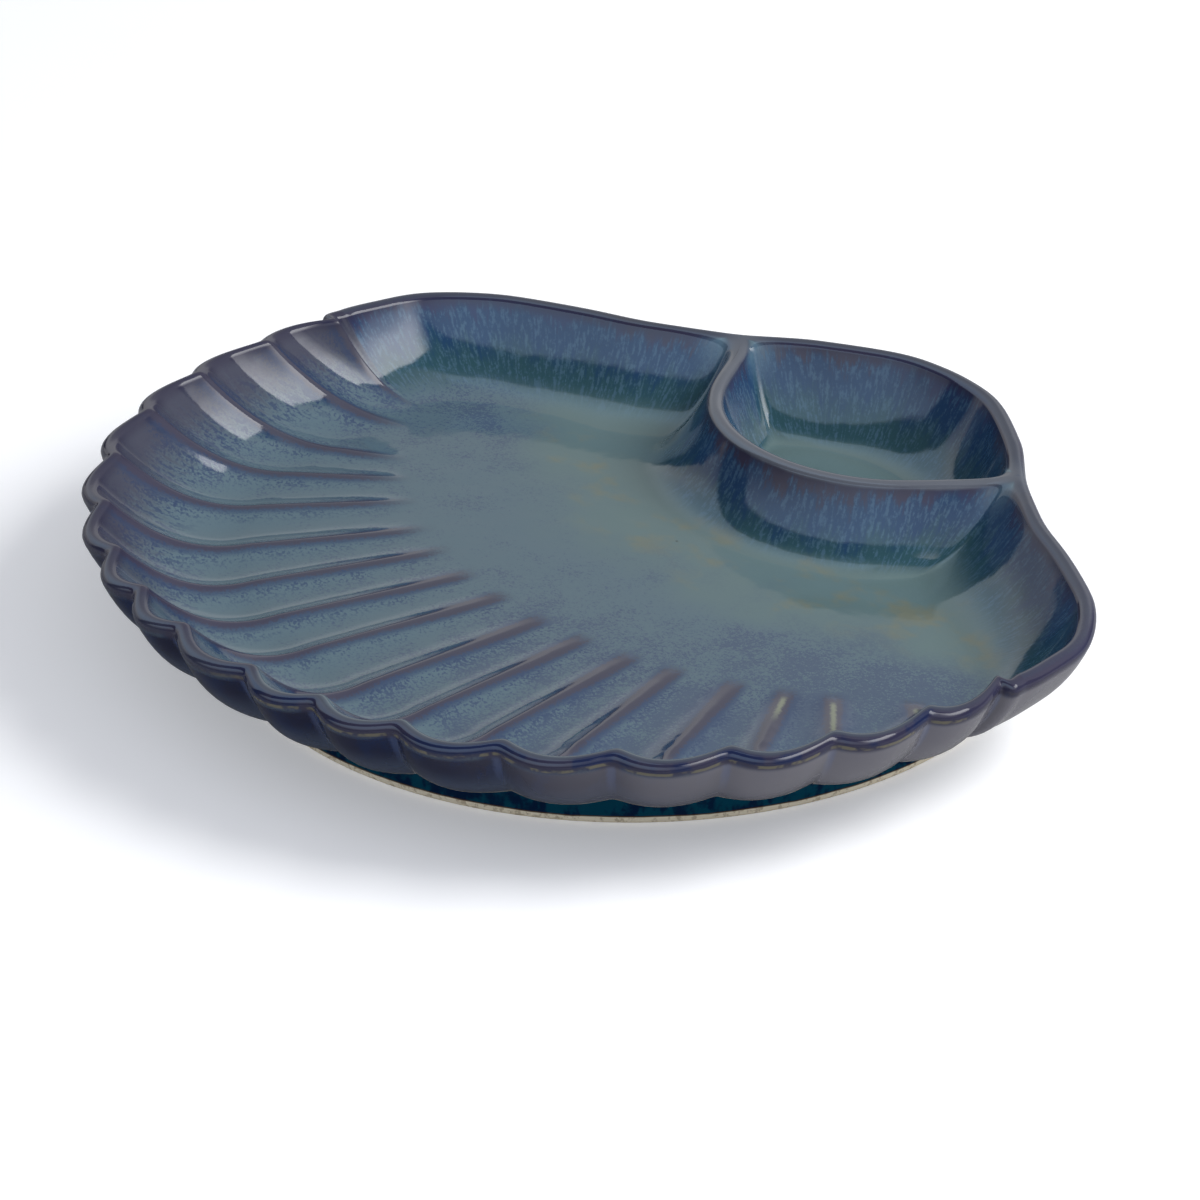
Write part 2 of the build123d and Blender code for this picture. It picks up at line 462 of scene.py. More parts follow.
def bowlRows():
    rearEdges = wholeRow(form["junctionShare"], form["bowlRimShares"])
    rearFloors = [bowlFloorPoint(edge) for edge in rearEdges]
    crestEdges = wholeRow(form["junctionShare"], form["crestShares"])
    crestFloors = [bowlFloorPoint(edge) for edge in crestEdges]
    junction = junctionRow(rearEdges[1], rearFloors[0])[None, :]
    ends = (junction, mirroredRows(junction))
    rear = np.concatenate((ends[0], rimRows(rearEdges, rearFloors), ends[1]))
    crest = np.concatenate((ends[0], crestRows(crestEdges, crestFloors, -1), ends[1]))
    rear = smoothRows(rear, meshSteps["rear"])
    crest = smoothRows(crest, meshSteps["divider"])[::-1]
    rows = np.concatenate((rear[:-1], crest[:-1]))
    return rows, len(rear) - 1, len(crest)


def ringTable():
    # Zone and place of each ring: outer wall, lip, inner wall.
    outer = np.linspace(0, 1, meshSteps["outer"] + 1)
    lip = np.linspace(0, form["lipEnd"], meshSteps["lip"] + 1)[1:]
    lip[np.argmin(abs(lip - 90))] = 90
    inner = np.linspace(0, 1, meshSteps["inner"] + 1)[1:] ** meshSteps["lipCrowding"]
    floor = np.linspace(0, 1, meshSteps["floor"] + 1)[1:]
    zones = [0] * len(outer) + [1] * len(lip) + [2] * len(inner) + [3] * len(floor)
    places = np.concatenate((outer, np.radians(lip), inner, floor))
    return np.array(zones), places, len(outer) + int(np.where(lip == 90)[0][0])


def sectionTree():
    tree = bpy.data.node_groups.new("shellSections", "GeometryNodeTree")
    graph = Graph(tree)
    face = tree.interface
    face.new_socket("Geometry", in_out="INPUT", socket_type="NodeSocketGeometry")
    for name, value in sectionInputs.items():
        made = face.new_socket(name, in_out="INPUT", socket_type="NodeSocketFloat")
        made.default_value = value
    face.new_socket("Geometry", in_out="OUTPUT", socket_type="NodeSocketGeometry")
    entry = graph.node("NodeGroupInput")
    value = {name: Term(tree, entry.outputs[name]) for name in sectionInputs}
    names = ("edge", "lead", "lip", "foot", "floor", "past")
    edge, lead, lip, foot, floor, past = [graph.attribute(n, "FLOAT_VECTOR") for n in names]
    names = ("top", "ridge", "phase", "zone", "place", "level", "power")
    top, ridge, phase, zone, place, level, power = [graph.attribute(n, "FLOAT") for n in names]
    up = lambda height: graph.term("ShaderNodeCombineXYZ", Z=height)

    isInner = zone.over(1.5)
    onFloor = place * isInner
    soft = value["Rim Ridge Softness"].towards(value["Floor Ridge Softness"], onFloor)
    soft = value["Outer Groove Softness"].towards(soft, zone.over(0.5))
    high = (soft * soft + 1.0) ** 0.5 - soft
    rounded = ((phase * phase + soft * soft) ** 0.5 - soft) / high
    bend = value["Channel Power"].towards(value["Floor Channel Power"], onFloor)
    flute = 1.0 - (1.0 - rounded).atLeast(0.0) ** bend
    depth = value["Flute Depth"] * flute * ridge
    top = top + value["Flute Rim Rise"] * flute * ridge
    radius = value["Lip Radius"]
    end = value["Lip End"]
    start = edge + lead - lip * end.cos()
    startHeight = top - radius * (1.0 - end.sin())
    across = floor - start
    length = across.length()
    inward = across / length
    run = value["Wall Reach"].atMost(length)
    drop = startHeight - level
    rimSlope = (drop * power).angleTo(run)
    rimPush = inward * (depth * rimSlope.sin() * -1.0) - up(depth * rimSlope.cos())

    flat = value["Outer Flat Share"]
    rise = flat * place + (1.0 - flat) * place ** value["Outer Wall Power"]
    footHeight = value["Foot Height"]
    height = footHeight + (top - radius - footHeight) * rise
    groove = ((place - value["Groove Start"]) / (1.0 - value["Groove Start"])).atLeast(0.0)
    outer = foot + (edge - foot) * place + up(height) + rimPush * groove

    cosine = place.cos()
    before = lead * (1.0 - cosine)
    after = lead - lip * cosine
    inside = place.over(math.radians(89.9))
    reach = before * (1.0 - inside) + after * inside
    lipPoint = edge + reach + up(top - radius * (1.0 - place.sin())) + rimPush

    left = (1.0 - length * place / run).atLeast(0.0)
    slope = (drop * power * left ** (power - 1.0)).angleTo(run)
    fade = depth * (1.0 - place)
    push = inward * (fade * slope.sin() * -1.0) - up(fade * slope.cos())
    rib = value["Flute Depth"] * ridge * (1.0 - place) * (1.0 - left)
    height = level + drop * left**power + rib
    inner = start + inward * (length * place) + up(height) + push

    onLip = zone.over(0.5) * (1.0 - isInner)
    flat = floor.towards(past, place) + up(level)
    point = outer * (1.0 - zone.over(0.5)) + lipPoint * onLip
    point = point + inner * (isInner * (1.0 - zone.over(2.5))) + flat * zone.over(2.5)
    entryMesh = Term(tree, entry.outputs["Geometry"])
    placed = graph.term("GeometryNodeSetPosition", Geometry=entryMesh, Position=point)
    graph.node("NodeGroupOutput", Geometry=placed)
    return tree


def storeAttribute(mesh, name, values):
    kind, key = ("FLOAT_VECTOR", "vector") if values.shape[-1] == 3 else ("FLOAT", "value")
    made = mesh.attributes.new(name, kind, "POINT")
    made.data.foreach_set(key, np.ascontiguousarray(values, np.float32).ravel())


def sectionData(rows):
    # Distances in millimetres that the glaze follows: off the nearest ridge and past its tip.
    zones, places = ringTable()[:2]
    inner = np.where(zones == 2, places, np.where(zones == 3, 1.0, 0.0))[None, :]
    onFloor = np.where(zones == 3, places, 0.0)[None, :]
    phase, spans = rows[:, 12:13], rows[:, 13:15]
    span = spans[:, :1] * (1 - inner) + spans[:, 1:] * inner
    ridgeOff = np.where(rows[:, 11:12] > 0.02, phase * span, 40.0)
    length = np.linalg.norm(rows[:, 8:10] - rows[:, 0:2], axis=1)[:, None]
    return ridgeOff, onFloor * form["floorReach"][1] - length * (1 - inner)


def shellSurface(name, tree, rows, level, power):
    # Vertices run down each section, section by section round the rim.
    zones, places = ringTable()[:2]
    count, depth = len(rows), len(zones)
    mesh = bpy.data.meshes.new(name)
    mesh.from_pydata(np.zeros((count * depth, 3)).tolist(), [], [])
    for place, key in enumerate(("edge", "lead", "lip", "foot", "floor")):
        flat = np.zeros((count, 3))
        flat[:, :2] = rows[:, place * 2 : place * 2 + 2] * mm
        storeAttribute(mesh, key, np.repeat(flat, depth, axis=0))
    past = np.zeros((count, 3))
    past[:, :2] = pastTips(rows) * mm
    storeAttribute(mesh, "past", np.repeat(past, depth, axis=0))
    single = {
        "top": np.repeat(rows[:, 10] * mm, depth),
        "ridge": np.repeat(rows[:, 11], depth),
        "phase": np.repeat(rows[:, 12], depth),
        "zone": np.tile(zones, count),
        "place": np.tile(places, count),
        "level": np.full(count * depth, level * mm),
        "power": np.full(count * depth, power),
    }
    for key, values in single.items():
        storeAttribute(mesh, key, values)
    source = bpy.data.objects.new(name + "Sections", mesh)
    scene.collection.objects.link(source)
    modifier = source.modifiers.new("sections", "NODES")
    modifier.node_group = tree
    for item in tree.interface.items_tree:
        if item.in_out == "INPUT" and item.name in sectionInputs:
            modifier[item.identifier] = sectionInputs[item.name]
    graph = bpy.context.evaluated_depsgraph_get()
    made = bpy.data.meshes.new_from_object(source.evaluated_get(graph))
    bpy.data.objects.remove(source)
    points = np.zeros(count * depth * 3, np.float32)
    made.vertices.foreach_get("co", points)
    bpy.data.meshes.remove(made)
    points = points.reshape(count, depth, 3).astype(float)
    ridgeOff, tipOff = sectionData(rows)
    return {"points": points, "ridgeOff": ridgeOff, "tipOff": tipOff}


def roundCorners(points):
    # Inside the crest line, each ring is rounded in plan where divider and rim meet.
    zones, places, topRing = ringTable()
    corner = scaled(form["junctionShare"]) * mm
    top = points[:, topRing]
    away = np.hypot(abs(top[:, 0]) - corner[0], top[:, 1] - corner[1]) / mm
    near = smoothFall(1 - away / blending["cornerReach"])
    ringShare = np.zeros(len(zones))
    lipRings = (zones == 1) & (np.arange(len(zones)) > topRing)
    turned = (np.degrees(places[lipRings]) - 90) / (form["lipEnd"] - 90)
    ringShare[lipRings] = smoothFall(turned)
    ringShare[zones >= 2] = 1
    weight = (near[:, None] * ringShare[None, :])[:, :, None] * blending["cornerPull"]
    for turn in range(blending["cornerRounds"]):
        middle = (np.roll(points, 1, axis=0) + np.roll(points, -1, axis=0)) / 2
        points = points + weight * (middle - points)
    return points


def gridFaces(ids):
    low, high = ids, np.roll(ids, -1, axis=0)
    return np.stack((low[:, :-1], high[:, :-1], high[:, 1:], low[:, 1:]), axis=2)


def joinSurfaces(dishPoints, bowlPoints, dishStart, dividerCount, bowlStart):
    # One numbering for both surfaces: they share the crest line and the seam under its ends.
    zones, places, topRing = ringTable()
    dishIds = np.arange(dishPoints.shape[0] * dishPoints.shape[1]).reshape(dishPoints.shape[:2])
    bowlIds = np.arange(bowlPoints.shape[0] * bowlPoints.shape[1]).reshape(bowlPoints.shape[:2])
    bowlIds = bowlIds + dishIds.size
    dishColumns = dishStart + np.arange(dividerCount)
    bowlColumns = (bowlStart + dividerCount - 1 - np.arange(dividerCount)) % len(bowlIds)
    bowlIds[bowlColumns, topRing] = dishIds[dishColumns, topRing]
    for end in (0, -1):
        low = dishIds[dishColumns[end], : topRing + 1]
        bowlIds[bowlColumns[end], : topRing + 1] = low
    shown = []
    for ids, columns in ((dishIds, dishColumns[:-1]), (bowlIds, bowlColumns[1:])):
        faces = np.ones((ids.shape[0], ids.shape[1] - 1), bool)
        faces[columns[:, None], np.arange(topRing)[None, :]] = False
        shown.append(faces)
    points = np.concatenate((dishPoints.reshape(-1, 3), bowlPoints.reshape(-1, 3)))
    quads = np.concatenate([gridFaces(i)[s] for i, s in zip((dishIds, bowlIds), shown)])
    return points, quads, (dishIds, bowlIds), shown


def smoothJoined(points, quads, ringOf):
    # Evens out the saddles at the ends of the divider and the bend where the lip begins.
    edges = np.concatenate([quads[:, [a, (a + 1) % 4]] for a in range(4)])
    edges = np.unique(np.sort(edges, axis=1), axis=0)
    ends = np.concatenate((edges[:, 0], edges[:, 1]))
    others = np.concatenate((edges[:, 1], edges[:, 0]))
    degree = np.bincount(ends, minlength=len(points))
    corner = scaled(form["junctionShare"]) * mm
    away = np.sqrt((abs(points[:, 0]) - corner[0]) ** 2 + (points[:, 1] - corner[1]) ** 2)
    near = smoothFall(1 - away / mm / blending["saddleReach"])
    first, count = blending["saddleRings"]
    near = near * smoothFall((ringOf - first) / count)
    lipEdge = np.exp(-(((ringOf - meshSteps["outer"]) / blending["lipRings"]) ** 2))
    for rounds, weight in ((blending["saddleRounds"], near), (blending["lipRounds"], lipEdge)):
        weight = (weight * (degree > 0))[:, None] * blending["pull"]
        for turn in range(rounds):
            sums = [np.bincount(ends, points[others, k], len(points)) for k in range(3)]
            middle = np.stack(sums, axis=1) / np.maximum(degree, 1)[:, None]
            points = points + weight * (middle - points)
    return points


def vertexNormals(points, quads):
    corners = points[quads]
    across = np.cross(corners[:, 2] - corners[:, 0], corners[:, 3] - corners[:, 1])
    normals = np.zeros_like(points)
    for k in range(3):
        for corner in range(4):
            normals[:, k] += np.bincount(quads[:, corner], across[:, k], len(points))
    return normals / np.maximum(np.linalg.norm(normals, axis=1), 1e-20)[:, None]


def surfaceMesh(name, surface, points, normals, ids, shown):
    # A closed mesh whose shading normals carry on over the seam between the two pieces.
    count, depth = ids.shape
    own = np.arange(count * depth).reshape(count, depth)
    vertices = points[ids].reshape(-1, 3)
    vertices[:, 1] += footCentreY
    quads = gridFaces(own).reshape(-1, 4)
    faces = quads.tolist() + [own[:, -1].tolist(), own[::-1, 0].tolist()]
    mesh = bpy.data.meshes.new(name)
    mesh.from_pydata(vertices.tolist(), [], faces)
    mesh.shade_smooth()
    smooth = normals[gridFaces(ids).reshape(-1, 4)]
    corners = vertices[quads]
    flat = np.cross(corners[:, 2] - corners[:, 0], corners[:, 3] - corners[:, 1])
    flat = flat / np.maximum(np.linalg.norm(flat, axis=1), 1e-20)[:, None]
    loops = np.where(shown.reshape(-1, 1, 1), smooth, flat[:, None, :]).reshape(-1, 3)
    rest = [(0, 0, 1)] * count + [(0, 0, -1)] * count
    mesh.normals_split_custom_set(np.concatenate((loops, rest)).tolist())
    top = points[ids][:, ringTable()[2]]
    steps = np.linalg.norm(np.diff(points[ids], axis=1), axis=2)
    down = np.concatenate((np.zeros((count, 1)), np.cumsum(steps, axis=1)), axis=1)
    down = down - down[:, ringTable()[2]][:, None]
    flow = np.zeros((count, depth, 3))
    flow[:, :, :2] = top[:, None, :2]
    flow[:, :, 2] = down
    storeAttribute(mesh, "flow", flow)
    storeAttribute(mesh, "steep", 1 - normals[ids][:, :, 2])
    for key in ("ridgeOff", "tipOff"):
        storeAttribute(mesh, key, surface[key])
    return mesh


def addPiece(name, mesh, material, node):
    mesh.name = name
    mesh.materials.clear()
    mesh.materials.append(material)
    piece = bpy.data.objects.new(name, mesh)
    scene.collection.objects.link(piece)
    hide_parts(node)
    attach(piece, "root")
    return piece


def plainMaterial(name, colour, roughness):
    material = bpy.data.materials.new(name)
    material.use_nodes = True
    Graph(material.node_tree).dress(Base_Color=(*colour, 1), Roughness=roughness)
    return material


# The reactive glaze's colours, with painted highlights and a painted reflection among them.
glazeColours = {
    "floorTeal": (0.082, 0.130, 0.157),
    "floorViolet": (0.044, 0.066, 0.124),
    "floorGreen": (0.098, 0.153, 0.150),
    "ochre": (0.150, 0.150, 0.092),
    "wallBlue": (0.014, 0.044, 0.104),
    "wallTeal": (0.024, 0.066, 0.082),
    "fleck": (0.070, 0.135, 0.205),
    "mauve": (0.036, 0.032, 0.058),
    "navy": (0.022, 0.034, 0.090),
    "ridgeBrown": (0.046, 0.044, 0.066),
    "fringe": (0.016, 0.036, 0.092),
    "olive": (0.20, 0.22, 0.15),
    "lip": (0.026, 0.025, 0.050),
    # pale crest top, partly the glaze's own colour, partly painted highlight
    "crestPaleAndHighlight": (0.095, 0.105, 0.125),
    "cobalt": (0.008, 0.015, 0.052),
    "lipLine": (0.17, 0.155, 0.09),
    "saddle": (0.13, 0.215, 0.26),
    "paleBlue": (0.09, 0.13, 0.26),
    "outerBrown": (0.006, 0.008, 0.030),
    "outerNavy": (0.002, 0.010, 0.046),
    "outerPale": (0.040, 0.056, 0.095),
    # painted reflection of the white table on the right outer walls
    "outerRightPaintedReflection": (0.150, 0.145, 0.165),
    # teal at the front lip's inner edge, partly the channel's glaze, partly painted highlight
    "lipTealAndHighlight": (0.115, 0.170, 0.185),
    "pinhole": (0.006, 0.008, 0.008),
}

# The noises that break the glaze up: scale, detail and roughness.
glazeNoises = {
    "fine": (980.0, 3.0, 0.62),
    "specks": (1900.0, 2.0, 0.6),
    "clumps": (85.0, 3.0),
    "broad": (15.0, 2.0),
    "blots": (62.0, 3.0, 0.6),
    "breaks": (210.0, 2.0),
    "waves": (58.0, 2.0),
    "streaks": (900.0, 3.0, 0.6),
    "runs": (150.0, 2.0),
    "drawn": (620.0, 3.0, 0.6),
}
downStretch = {"streaks": 0.24, "runs": 0.22, "drawn": 0.3}

# Where one colour turns into the next, in millimetres, or in the units of the noises.
glazeLimits = {
    "speckled": (-0.02, 0.18),
    "green": (88, 58),
    "greenMiddle": 95,
    "ochre": (46, 54, 62, 80),
    "ochreBlots": (0.50, 0.70),
    "fluted": (17, 32),
    "mauveClouds": (-0.1, 0.3),
    "wallBlue": (3, 9),
    "wallTeal": (12, 25),
    "flecks": (-0.02, 0.16),
    "wall": (0.03, 0.26),
    "drawnFlecks": (-0.04, 0.1),
    "drawnStart": (6, 14),
    "drawnEnd": (24, 42),
    "frontEnd": (-95, -60),
    "frontLeft": (-90, -20),
    "upperMauve": (7, 32),
    "leftSide": (-90, 0),
    "ridgeNarrowing": (-95, -62),
    "ridgeWidening": (-60, -15),
    "fringe": (0.4, 2.6),
    "fringeSpots": (1, 7.5),
    "fringeNoise": (-0.02, 0.1),
    "ridgeBand": (-0.7, 0.9),
    "ridgeBrowning": (-90, -45),
    "oliveAcross": (82, 90, 122, 128),
    "oliveFront": (-20, -10),
    "olive": (0.2, 1.4),
    "oliveStart": (-30, -24),
    "oliveEnd": (-7, -3),
    "saddlePlace": (66.5, 114.5),
    "saddle": (4, 17),
    "pinhole": (0.35, 0.65),
    "outside": (-7.5, -5),
    "outerPatches": (-0.05, 0.15),
    "outerPale": (-24, -11),
    # where the painted reflection of the table lightens the outer walls, across
    "outerRightPaintedReflection": (80, 150),
    "notch": (0.6, 1.8),
    "notchRise": (-24, -9),
    "linedLeft": (-5, 30),
    "linedRear": (-10, 30),
    "lipStart": (-6.6, -4.6),
    "lipEnd": (2, 6.5),
    "lipTealAndHighlightStart": (0, 1.5),
    "lipTealAndHighlightEnd": (2, 7),
    "crestAcross": (60, 72),
    "crestRear": (110, 120),
    "crestFront": (45, 55),
    "crestBand": (5, 15),
    "topLine": (-4.6, -4, -1.6, -0.8),
    "cobaltClouds": (0, 0.12),
    "underLine": (-5.8, -5.2, -4.6, -4.2),
    "underLineBreaks": (0.42, 0.56),
}

# Sizes and strengths that hold over the whole glaze.
glazeLook = {
    "roughness": (0.05, 0.11),
    "ridgeHalfWidth": (2.6, 1.5, 2.7),
    "pinholeScale": 42.0,
    "pinholesLeftOut": 0.8,
    "bumpStrength": 0.22,
}


def opaque(colour):
    return (*colour, 1)


def glazeNoise(graph, name, vector):
    return graph.noise(vector, *glazeNoises[name])


def reactiveGlaze():
    look = {name: opaque(colour) for name, colour in glazeColours.items()}
    at = glazeLimits
    material = plainMaterial("reactiveGlaze", glazeColours["floorTeal"], 0.08)
    graph = Graph(material.node_tree)
    here = graph.term("ShaderNodeTexCoord", None, "Object")
    x, y = [part / mm for part in graph.parts(here)[:2]]
    across = (x * x) ** 0.5
    flow = graph.stored("flow", "Vector")
    down = graph.parts(flow)[2] / mm
    steep = graph.stored("steep")
    ridgeOff = graph.stored("ridgeOff")
    tipOff = graph.stored("tipOff")

    names = ("fine", "specks", "clumps", "broad")
    fine, specks, clumps, broad = [glazeNoise(graph, name, here) - 0.5 for name in names]
    streaks, runs, drawn = [
        glazeNoise(graph, name, flow * (1.0, 1.0, stretch)) - 0.5
        for name, stretch in downStretch.items()
    ]

    # Floor: blue-grey teal with violet specks, greener round the divider's foot.
    denser = x.step(-40.0, 90.0) * 0.08 + x.step(60.0, 130.0) * 0.06 - 0.02
    speckled = fine * 0.8 + specks * 0.5 + clumps * 0.45 + broad * 0.5 + denser
    speckled = speckled.step(*at["speckled"])
    sideways, rearward = x * 0.55, y - at["greenMiddle"]
    away = (sideways * sideways + rearward * rearward) ** 0.5 + broad * 60.0 + clumps * 12.0
    green = away.step(*at["green"])
    colour = graph.mix(look["floorTeal"], look["floorViolet"], speckled * (1.0 - green * 0.8) * 0.7)
    colour = graph.mix(colour, look["floorGreen"], green * 0.85)
    blots = glazeNoise(graph, "blots", here * (0.7, 1.0, 1.0)) + broad * 0.25
    blots = blots.step(*at["ochreBlots"]) * away.band(*at["ochre"])
    colour = graph.mix(colour, look["ochre"], blots * 0.65)

    # Walls: mauve under the lip, then blue, then teal, in streaks that ran down.
    ran = down + runs * 20.0 + streaks * 16.0
    fluted = ridgeOff.fall(*at["fluted"])
    clouds = (broad * 2.0 + clumps).step(*at["mauveClouds"])
    wall = graph.mix(look["navy"], look["mauve"], clouds)
    wall = graph.mix(wall, look["wallBlue"], ran.step(*at["wallBlue"]))
    wall = graph.mix(wall, look["wallTeal"], ran.step(*at["wallTeal"]))
    fleck = (streaks + fine * 0.5).step(*at["flecks"]) * ran.step(*at["wallBlue"])
    wall = graph.mix(wall, look["fleck"], fleck * 0.5)
    isWall = (steep + fine * 0.06).step(*at["wall"])
    colour = graph.mix(colour, wall, isWall * (1.0 - fluted))

    # Fluted walls: mauve above, then dark-blue flecks drawn down into the teal of the channel.
    fell = down + drawn * 26.0 + clumps * 10.0
    flecked = (drawn + fine * 0.5).step(*at["drawnFlecks"]) * down.step(*at["drawnStart"])
    flecked = flecked * down.fall(*at["drawnEnd"])
    colour = graph.mix(colour, look["fringe"], flecked * fluted * 0.75)
    front = y.fall(*at["frontEnd"]) * x.step(*at["frontLeft"])
    upper = fell.fall(*at["upperMauve"]) * (1.0 - front * 0.6)
    colour = graph.mix(colour, look["mauve"], upper * fluted * 0.85)

    # Ridges: purple-brown bands with a ragged dark-blue fringe, wider at their inner ends.
    rough = fine * 3.0 + specks * 1.4 + clumps * 1.2
    atRim, atMiddle, atTip = glazeLook["ridgeHalfWidth"]
    onLeft = x.fall(*at["leftSide"])
    half = tipOff.step(*at["ridgeNarrowing"]) * (atMiddle - atRim) + atRim
    widening = tipOff.step(*at["ridgeWidening"]) * (atTip - atMiddle)
    half = half + widening * (1.0 - onLeft * 0.75)
    past = ridgeOff + rough - half
    ended = (tipOff + rough * 3.0).step(-5.0 - onLeft * 14.0, 3.0)
    solid = past.fall(*at["fringe"]) * 0.8
    spots = (fine + clumps * 0.4).step(*at["fringeNoise"])
    spotted = past.fall(*at["fringeSpots"]) * spots * 0.75
    colour = graph.mix(colour, look["fringe"], solid.atLeast(spotted) * (1.0 - ended) * 0.85)
    band = past.fall(*at["ridgeBand"]) * (1.0 - ended)
    brown = graph.mix(look["mauve"], look["ridgeBrown"], tipOff.step(*at["ridgeBrowning"]))
    colour = graph.mix(colour, brown, band * 0.9)
    rightSide = x.band(*at["oliveAcross"]) * y.step(*at["oliveFront"])
    middle = (ridgeOff + fine * 1.6).fall(*at["olive"])
    middle = middle * tipOff.step(*at["oliveStart"]) * tipOff.fall(*at["oliveEnd"])
    colour = graph.mix(colour, look["olive"], middle * rightSide * 0.8)

    # Saddles at the divider's ends are pale and streaked.
    outward, rise = across - at["saddlePlace"][0], y - at["saddlePlace"][1]
    saddle = (outward * outward + rise * rise) ** 0.5 + streaks * 9.0
    colour = graph.mix(colour, look["saddle"], saddle.fall(*at["saddle"]) * 0.75)

    # Pinholes, a few.
    scale = glazeLook["pinholeScale"]
    pitted = {"Vector": here, "Scale": scale}
    pits = graph.term("ShaderNodeTexVoronoi", None, "Distance", **pitted) / (mm * scale)
    cell = graph.parts(graph.term("ShaderNodeTexVoronoi", None, "Color", **pitted))[0]
    pit = pits.fall(*at["pinhole"]) * cell.over(glazeLook["pinholesLeftOut"])
    colour = graph.mix(colour, look["pinhole"], pit * 0.85)

    # Outer walls and lip: dark where the glaze thinned, lightened on the right by painted
    # reflection of the white table, a cobalt line along the front's top.
    outside = down.fall(*at["outside"])
    patchy = (runs + clumps + fine * 0.3).step(*at["outerPatches"])
    outer = graph.mix(look["outerBrown"], look["outerNavy"], patchy)
    outer = graph.mix(look["outerPale"], outer, down.step(*at["outerPale"]))
    # Painted reflection: the outer walls on the right are lightened as if they mirrored the white
    # table.
    outer = graph.mix(outer, look["outerRightPaintedReflection"], x.step(*at["outerRightPaintedReflection"]) * 0.9)
    colour = graph.mix(colour, outer, outside)
    notch = (ridgeOff + fine * 1.5).fall(*at["notch"]) * outside
    colour = graph.mix(colour, look["paleBlue"], notch * down.step(*at["notchRise"]) * 0.3)
    edge = down + clumps * 1.5
    lined = (x + clumps * 20.0).step(*at["linedLeft"]) * y.fall(*at["linedRear"])
    # Pale teal along the front lip's inner edge: the channel's teal reaching the lip top, with
    # painted highlights on it.
    pale = (edge + 2.5).step(*at["lipTealAndHighlightStart"]) * edge.fall(*at["lipTealAndHighlightEnd"]) * lined
    colour = graph.mix(colour, look["lipTealAndHighlight"], pale * 0.7)
    onLip = edge.step(*at["lipStart"]) * (edge + lined * 3.4).fall(*at["lipEnd"])
    colour = graph.mix(colour, look["lip"], onLip * 0.85)
    # Pale band along the crest's top: partly the glaze's own pale colour, partly painted highlight.
    onCrest = across.fall(*at["crestAcross"]) * y.fall(*at["crestRear"])
    onCrest = onCrest * y.step(*at["crestFront"])
    pale = (edge * edge).fall(*at["crestBand"]) * onCrest
    colour = graph.mix(colour, look["crestPaleAndHighlight"], pale * 0.9)
    topLine = edge.band(*at["topLine"]) * lined
    navy = graph.mix(look["cobalt"], look["lip"], (clumps + broad).step(*at["cobaltClouds"]))
    colour = graph.mix(colour, navy, topLine * 0.9)
    underLine = edge.band(*at["underLine"]) * lined
    broken = glazeNoise(graph, "breaks", here).step(*at["underLineBreaks"])
    colour = graph.mix(colour, look["lipLine"], underLine * broken * 0.6)

    low, high = glazeLook["roughness"]
    rough = (clumps + 0.5) * (high - low) + low + pit * 0.4
    waves = glazeNoise(graph, "waves", here) + fine * 0.03
    bumped = graph.bump(waves, glazeLook["bumpStrength"])
    graph.dress(Base_Color=colour, Roughness=rough, Normal=bumped)
    return material


footLook = {
    "glaze": (0.002, 0.056, 0.095),
    "mottle": (0.003, 0.016, 0.050),
    "rust": (0.10, 0.055, 0.025),
    "clay": (0.94, 0.84, 0.63),
    "claySpots": (0.62, 0.52, 0.36),
    "clayLine": 2.4,
    "specular": 0.05,
    "bumpStrength": 0.5,
    "profileSteps": 8,
    "segments": 288,
    "width": 6.5,
    "edgeRadius": 1.6,
}


def footGlazeMaterial():
    look = {key: opaque(v) if isinstance(v, tuple) else v for key, v in footLook.items()}
    material = plainMaterial("footGlaze", footLook["glaze"], 0.1)
    graph = Graph(material.node_tree)
    here = graph.term("ShaderNodeTexCoord", None, "Object")
    z = graph.parts(here)[2] / mm
    fine = graph.noise(here, 520.0, 3.0, 0.6) - 0.5
    cloud = graph.noise(here * (1.0, 1.0, 0.8), 130.0, 3.0, 0.6) - 0.5
    colour = graph.mix(look["glaze"], look["mottle"], (cloud + fine * 0.4).step(-0.06, 0.12))
    edge = z + graph.noise(here, 75.0, 2.0) * 0.8 - 0.4
    colour = graph.mix(look["rust"], colour, edge.step(look["clayLine"], look["clayLine"] + 0.5))
    clay = graph.mix(look["clay"], look["claySpots"], fine.step(0.0, 0.15))
    glazed = edge.step(look["clayLine"] - 0.25, look["clayLine"] + 0.05)
    colour = graph.mix(clay, colour, glazed)
    height = (fine * (1.0 - glazed) + glazed * 0.8) * 0.25
    bumped = graph.bump(height, look["bumpStrength"])
    graph.dress(Base_Color=colour, Roughness=0.8 - glazed * 0.72, Normal=bumped)
    graph.dress(Specular_IOR_Level=look["specular"])
    return material


